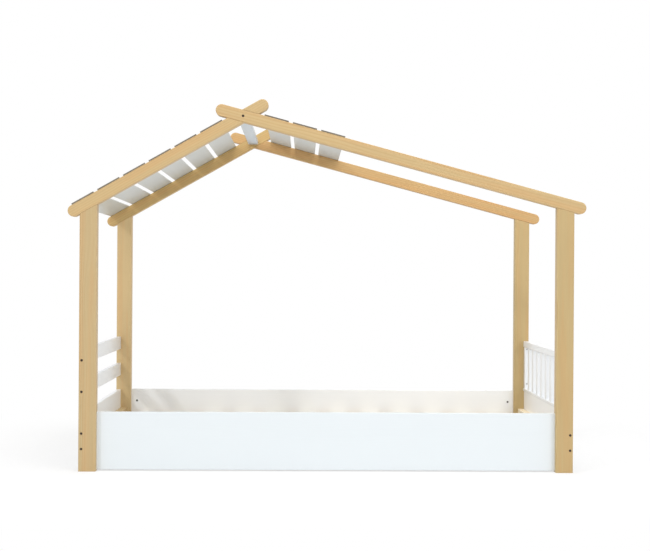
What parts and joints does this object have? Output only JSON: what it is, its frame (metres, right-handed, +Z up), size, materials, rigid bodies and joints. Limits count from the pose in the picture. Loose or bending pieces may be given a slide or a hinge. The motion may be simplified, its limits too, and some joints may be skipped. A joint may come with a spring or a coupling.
{
  "type": "house frame bed",
  "caption": "Low child's bed inside a pine house frame with a steep and a shallow roof slope, a slatted part roof, white side boards, boarded head and barred foot.",
  "frame": {"origin": "on the floor, at the middle of the space between the four posts, which is the bottom centre of the whole bed's box", "axes": "+X along the bed from the head end to the foot end, +Y from the front side to the back side, +Z up"},
  "size_m": [2.16, 0.98, 1.5505],
  "materials": {
    "pine": "clear matt lacquer",
    "white_paint": "satin white paint",
    "ridge_paint": "satin light blue grey paint",
    "sprung_birch": "bare laminated birch",
    "beech": "bare",
    "dark_steel": "dark brown coated steel",
    "zinc_steel": "zinc plated"
  },
  "bodies": {
    "root": {"back_ledger": "pine", "back_panel": "white_paint", "barrel_nuts": "zinc_steel", "base_slat_01": "sprung_birch", "base_slat_02": "sprung_birch", "base_slat_03": "sprung_birch", "base_slat_04": "sprung_birch", "base_slat_05": "sprung_birch", "base_slat_06": "sprung_birch", "base_slat_07": "sprung_birch", "base_slat_08": "sprung_birch", "base_slat_09": "sprung_birch", "base_slat_10": "sprung_birch", "base_slat_11": "sprung_birch", "base_slat_12": "sprung_birch", "foot_ledger": "pine", "foot_low_board": "white_paint", "frame_bolts": "dark_steel", "front_ledger": "pine", "front_panel": "white_paint", "guard_bar_1": "white_paint", "guard_bar_2": "white_paint", "guard_bar_3": "white_paint", "guard_bar_4": "white_paint", "guard_bar_5": "white_paint", "guard_bar_6": "white_paint", "guard_bar_7": "white_paint", "guard_bar_8": "white_paint", "guard_bottom_rail": "white_paint", "guard_screws": "zinc_steel", "guard_stile_back": "white_paint", "guard_stile_front": "white_paint", "guard_top_rail": "white_paint", "head_ledger": "pine", "head_low_board": "white_paint", "head_middle_board": "white_paint", "head_top_board": "white_paint", "ledger_screws": "zinc_steel", "panel_bolts": "dark_steel", "post_back_foot": "pine", "post_back_head": "pine", "post_front_foot": "pine", "post_front_head": "pine", "rafter_back_foot": "pine", "rafter_back_head": "pine", "rafter_front_foot": "pine", "rafter_front_head": "pine", "rafter_screws": "zinc_steel", "ridge_rail": "ridge_paint", "roof_slat_foot_1": "white_paint", "roof_slat_foot_2": "white_paint", "roof_slat_foot_3": "white_paint", "roof_slat_head_1": "white_paint", "roof_slat_head_2": "white_paint", "roof_slat_head_3": "white_paint", "roof_slat_head_4": "white_paint", "roof_slat_head_5": "white_paint", "roof_slat_head_6": "white_paint", "slat_screws": "zinc_steel", "wooden_dowels": "beech"}
  },
  "joints": []
}
